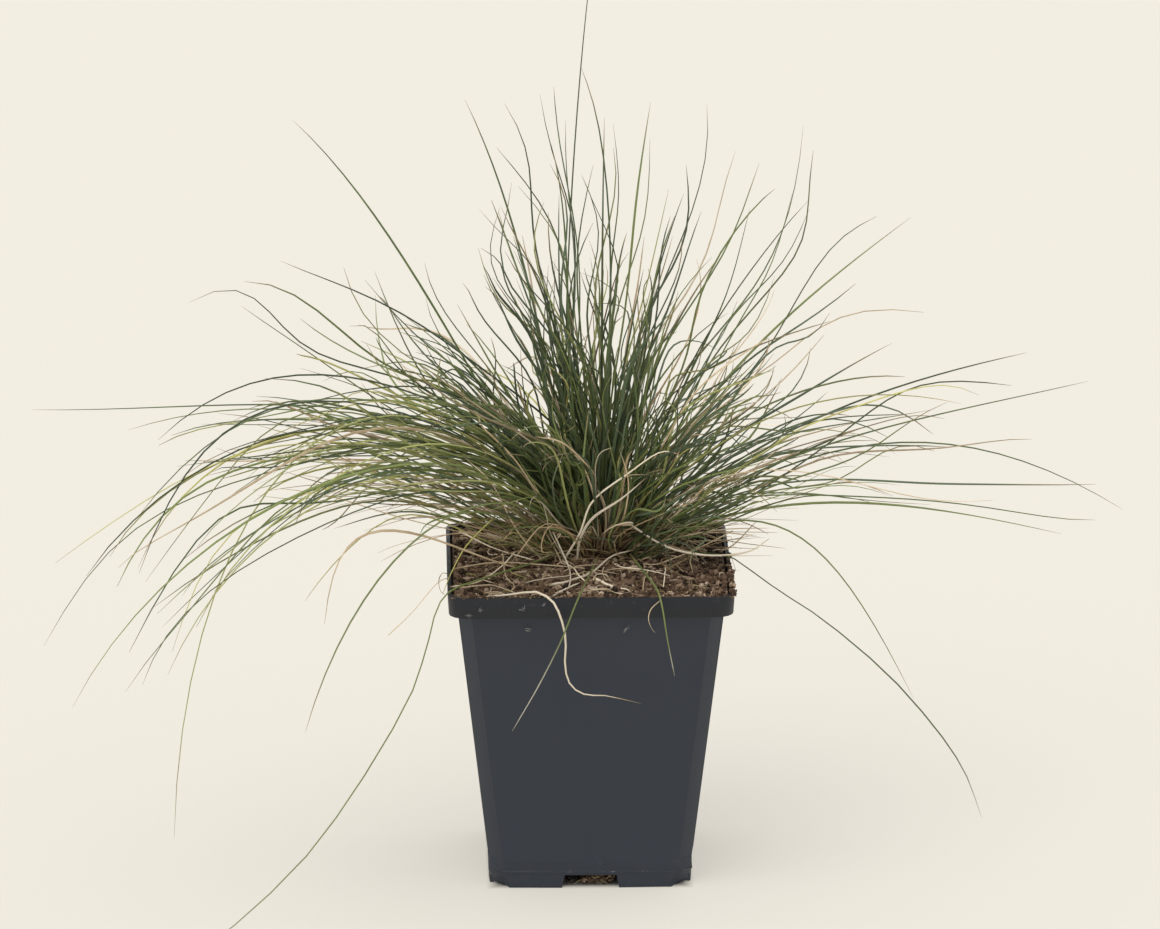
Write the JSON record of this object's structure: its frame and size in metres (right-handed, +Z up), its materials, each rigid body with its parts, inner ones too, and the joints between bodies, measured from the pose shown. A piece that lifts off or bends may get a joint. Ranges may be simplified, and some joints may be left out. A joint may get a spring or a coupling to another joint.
{
  "type": "potted fescue clump",
  "caption": "Clump of fine-leaved fescue grass in a square black nursery pot of soil, with long arching leaves and a few dead ones over the rim.",
  "frame": {"origin": "middle of the pot's foot, on the floor that it stands on, and the middle of the whole plant's footprint", "axes": "+Z up, +X to the right along the pot's front face, +Y from the front face to the back"},
  "size_m": [0.3508, 0.2627, 0.295],
  "materials": {
    "pot_plastic": "matte moulded polypropylene, dusty and lightly scuffed",
    "potting_soil": "crumbly peat and bark mix, dry on top",
    "crown_sheaths": "dry papery sheaths",
    "green_leaf": "satin dark green to blue-green leaf",
    "yellow_leaf": "satin yellow-green leaf",
    "dead_leaf": "dry matte straw"
  },
  "bodies": {
    "root": {"pot": "pot_plastic", "soil": "potting_soil", "crown": "crown_sheaths", "tuft_01": "green_leaf", "tuft_02": "green_leaf", "tuft_03": "green_leaf", "tuft_04": "green_leaf", "tuft_05": "green_leaf", "tuft_06": "green_leaf", "tuft_07": "green_leaf", "tuft_08": "green_leaf", "tuft_09": "green_leaf", "tuft_10": "green_leaf", "tuft_11": "green_leaf", "tuft_12": "green_leaf", "tuft_13": "green_leaf", "tuft_14": "green_leaf", "tuft_15": "green_leaf", "tuft_16": "green_leaf", "tuft_17": "green_leaf", "tuft_18": "green_leaf", "tuft_19": "green_leaf", "tuft_20": "green_leaf", "tuft_21": "green_leaf", "tuft_22": "green_leaf", "leaf_tallest": "green_leaf", "leaf_back_left_high": "green_leaf", "leaf_left_far": "green_leaf", "leaf_left_flat": "green_leaf", "leaf_left_drooping": "green_leaf", "leaf_left_hanging": "green_leaf", "leaf_front_left_curved": "green_leaf", "leaf_right_far": "green_leaf", "leaf_right_high": "green_leaf", "leaf_right_rising": "green_leaf", "leaf_right_low": "green_leaf", "leaf_right_yellow": "yellow_leaf", "leaf_back_right_high": "green_leaf", "leaf_back_right_tip_up": "green_leaf", "leaf_right_drooping": "green_leaf", "leaf_back_upright": "green_leaf", "leaf_back_left_upright": "green_leaf", "leaf_back_drooping": "green_leaf", "leaf_front_left_trailing": "green_leaf", "leaf_right_trailing": "green_leaf", "leaf_over_front_rim": "green_leaf", "leaf_over_front_rim_right": "green_leaf", "dead_leaf_curl": "dead_leaf", "dead_leaf_back_right": "dead_leaf", "dead_leaf_front_right": "dead_leaf", "dead_leaf_fork_stem": "dead_leaf", "dead_leaf_fork_right": "dead_leaf", "dead_leaf_fork_left": "dead_leaf", "dead_leaf_front": "dead_leaf", "dead_leaf_back_left": "dead_leaf", "dead_leaf_bent_tall": "dead_leaf", "dead_leaf_bent_low": "dead_leaf"}
  },
  "joints": []
}
